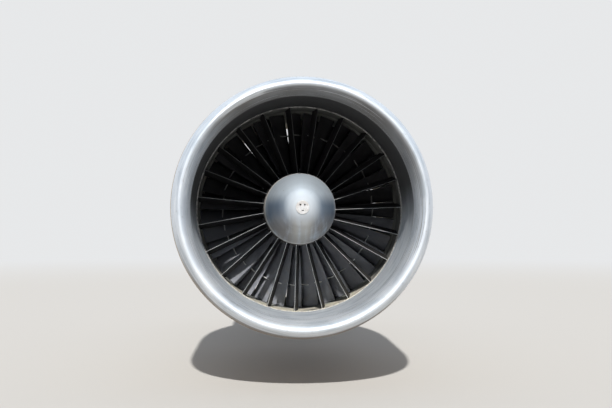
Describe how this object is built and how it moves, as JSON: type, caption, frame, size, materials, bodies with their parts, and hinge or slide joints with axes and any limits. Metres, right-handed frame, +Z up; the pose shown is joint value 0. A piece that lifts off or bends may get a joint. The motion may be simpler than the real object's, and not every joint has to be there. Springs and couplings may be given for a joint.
{
  "type": "jet engine",
  "caption": "Turbofan engine in a round pod with a bright inlet lip, a domed nose, inlet guide vanes, turning spools, hinged fan cowl doors and latches.",
  "frame": {"origin": "centre of the front hanger's bore", "axes": "+Y runs aft along the engine from its inlet, +Z is up, +X is to the right as seen from the front"},
  "size_m": [1.5699, 3.905, 1.68],
  "materials": {
    "lip_metal": "polished bare metal",
    "duct_metal": "satin bare metal, slightly dusty",
    "cowl_paint": "weathered tan paint",
    "door_paint": "weathered tan paint",
    "core_cowl_metal": "matt warm grey",
    "frame_primer": "green-grey primer",
    "bullet_metal": "satin spun metal",
    "cap_metal": "dull metal",
    "vane_metal": "grey metal, dusty",
    "fan_metal": "dark titanium grey",
    "case_metal": "matt cast grey",
    "cold_blade_metal": "grey metal",
    "rotor_metal": "machined grey",
    "hot_case_metal": "heat-tinted brown",
    "liner_metal": "heat-tinted dark brown",
    "shaft_metal": "ground metal",
    "bearing_metal": "ground bright metal",
    "bolt_metal": "dull metal",
    "pipe_metal": "bright tube",
    "accessory_paint": "grey-green paint",
    "hanger_metal": "forged dark grey",
    "latch_metal": "bright metal"
  },
  "bodies": {
    "engine": {"inlet_lip": "lip_metal", "inlet_barrel": "duct_metal", "nose_cowl_skin": "cowl_paint", "nose_cowl_frames": "frame_primer", "anti_ice_tube": "pipe_metal", "nose_bullet": "bullet_metal", "bullet_cap": "cap_metal", "inlet_case": "case_metal", "guide_vanes": "vane_metal", "inlet_hub": "case_metal", "inlet_bolts": "bolt_metal", "fan_case": "case_metal", "fan_stators": "cold_blade_metal", "fan_frame": "case_metal", "exit_vanes": "cold_blade_metal", "fan_duct": "case_metal", "fan_nozzle": "cowl_paint", "core_cowl_ring": "core_cowl_metal", "core_cowl_left": "core_cowl_metal", "core_cowl_right": "core_cowl_metal", "lpc_stator": "cold_blade_metal", "mid_case": "case_metal", "hpc_stator": "cold_blade_metal", "diffuser_case": "hot_case_metal", "burner_case": "hot_case_metal", "burner_inner_case": "hot_case_metal", "combustion_cans": "liner_metal", "transition_duct": "liner_metal", "fuel_manifold": "pipe_metal", "turbine_case": "hot_case_metal", "turbine_vanes": "liner_metal", "exhaust_case": "hot_case_metal", "tail_cone": "liner_metal", "exhaust_nozzle": "hot_case_metal", "bearing_races": "bearing_metal", "case_bolts": "bolt_metal", "gearbox": "accessory_paint", "starter": "accessory_paint", "fuel_pump": "accessory_paint", "oil_tank": "accessory_paint", "front_hanger": "hanger_metal", "rear_hanger": "hanger_metal", "cowl_beam": "cowl_paint", "hinge_pins": "bearing_metal"},
    "low_spool": {"fan_blades_1": "fan_metal", "fan_discs": "rotor_metal", "fan_blades_2": "fan_metal", "lpc_rotor": "rotor_metal", "lpt_rotor": "rotor_metal", "low_shaft": "shaft_metal", "low_rollers": "bearing_metal"},
    "high_spool": {"hpc_rotor": "rotor_metal", "hpt_rotor": "rotor_metal", "high_shaft": "shaft_metal", "high_rollers": "bearing_metal"},
    "door_left": {"cowl_door_left": "door_paint"},
    "door_right": {"cowl_door_right": "door_paint"},
    "latch_front": {"latch_front": "latch_metal"},
    "latch_middle": {"latch_middle": "latch_metal"},
    "latch_rear": {"latch_rear": "latch_metal"}
  },
  "joints": [
    {"name": "low_spin", "type": "hinge", "parent": "engine", "child": "low_spool", "pos_m": [0, 0, -0.85], "axis": [0, 1, 0], "continuous": true},
    {"name": "high_spin", "type": "hinge", "parent": "engine", "child": "high_spool", "pos_m": [0, 0, -0.85], "axis": [0, 1, 0], "continuous": true},
    {"name": "left_door_hinge", "type": "hinge", "parent": "engine", "child": "door_left", "pos_m": [-0.18991, 0, -0.08832], "axis": [0, 1, 0], "range_deg": [0, 50]},
    {"name": "right_door_hinge", "type": "hinge", "parent": "engine", "child": "door_right", "pos_m": [0.18991, 0, -0.08832], "axis": [0, -1, 0], "range_deg": [0, 50]},
    {"name": "front_latch_handle", "type": "hinge", "parent": "door_left", "child": "latch_front", "pos_m": [-0.03229, -0.4375, -1.62032], "axis": [0, -1, 0], "range_deg": [0, 80]},
    {"name": "middle_latch_handle", "type": "hinge", "parent": "door_left", "child": "latch_middle", "pos_m": [-0.03228, -0.1675, -1.62013], "axis": [0, -1, 0], "range_deg": [0, 80]},
    {"name": "rear_latch_handle", "type": "hinge", "parent": "door_left", "child": "latch_rear", "pos_m": [-0.03202, 0.0525, -1.61409], "axis": [0, -1, 0], "range_deg": [0, 80]}
  ]
}
